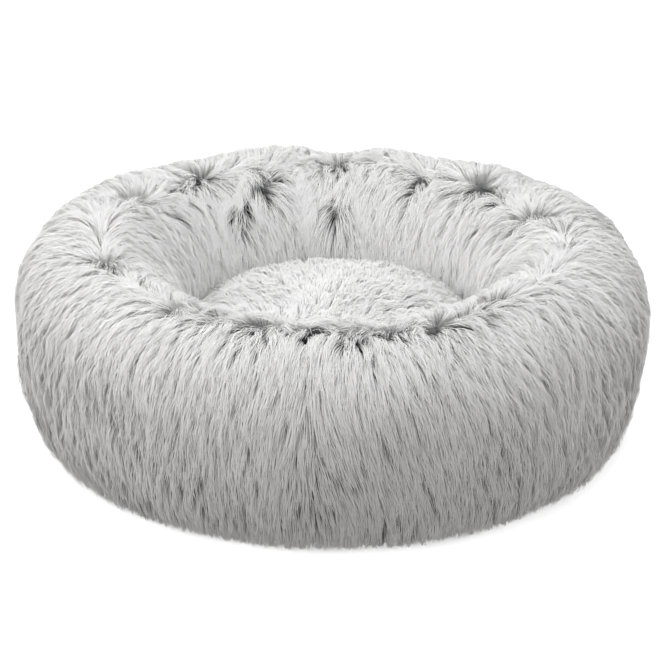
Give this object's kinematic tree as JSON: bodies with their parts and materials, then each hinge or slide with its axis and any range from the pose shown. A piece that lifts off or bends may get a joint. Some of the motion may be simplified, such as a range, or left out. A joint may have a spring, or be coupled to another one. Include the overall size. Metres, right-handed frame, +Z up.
{
  "type": "pet cushion bed",
  "caption": "Round pet bed: a stuffed ring in a long-pile fur cover with a zipped non-slip base, around a well that holds a lift-out fur cushion.",
  "frame": {"origin": "centre of the underside, on the surface that the bed stands on", "axes": "+Z up out of the well; -Y is the front, +Y is the back, where the zip runs under the edge; +X to the right seen from the front"},
  "size_m": [0.5999, 0.6, 0.19],
  "materials": {
    "frosted_fur": "long-pile faux fur, white tips over dark grey roots, lying downwards",
    "bag_cloth": "thin white non-woven cloth",
    "fibre_filling": "loose hollow polyester fibre",
    "nonslip_cloth": "dark grey woven polyester with small raised grip dots",
    "pad_foam": "thin open-cell foam disc",
    "lining_cloth": "plain light grey woven polyester",
    "seam_tape": "narrow woven tape",
    "label_cloth": "blank white satin ribbon",
    "zip_tape": "grey woven tape",
    "zip_teeth": "moulded grey nylon coil",
    "zip_metal": "grey enamelled zinc"
  },
  "bodies": {
    "bed": {"rim_outer_fur_left": "frosted_fur", "rim_outer_fur_right": "frosted_fur", "rim_inner_fur_left": "frosted_fur", "rim_inner_fur_right": "frosted_fur", "crest_seam_tape": "seam_tape", "rim_liner": "bag_cloth", "rim_filling": "fibre_filling", "base_panel": "nonslip_cloth", "base_pad": "pad_foam", "floor_lining": "lining_cloth", "care_label": "label_cloth", "zip_tape_inner": "zip_tape", "zip_tape_outer": "zip_tape", "zip_teeth_inner": "zip_teeth", "zip_teeth_outer": "zip_teeth", "zip_top_stops": "zip_metal", "zip_bottom_stop": "zip_metal"},
    "cushion": {"cushion_fur_top": "frosted_fur", "cushion_underside": "lining_cloth", "cushion_liner": "bag_cloth", "cushion_filling": "fibre_filling"},
    "slider": {"zip_slider": "zip_metal"},
    "pull": {"zip_pull": "zip_metal"}
  },
  "joints": [
    {"name": "cushion_lift", "type": "slide", "parent": "bed", "child": "cushion", "axis": [0, 0, 1], "range_m": [0, 0.25]},
    {"name": "zip_slide", "type": "hinge", "parent": "bed", "child": "slider", "pos_m": [0, 0, 0], "axis": [0, 0, 1], "range_deg": [0, 140], "deforming": ["zip_teeth_inner", "zip_teeth_outer"]},
    {"name": "pull_swing", "type": "hinge", "parent": "slider", "child": "pull", "pos_m": [0.21284, 0.07747, 0.00415], "axis": [-0.9397, -0.342, 0], "range_deg": [0, 175]}
  ]
}
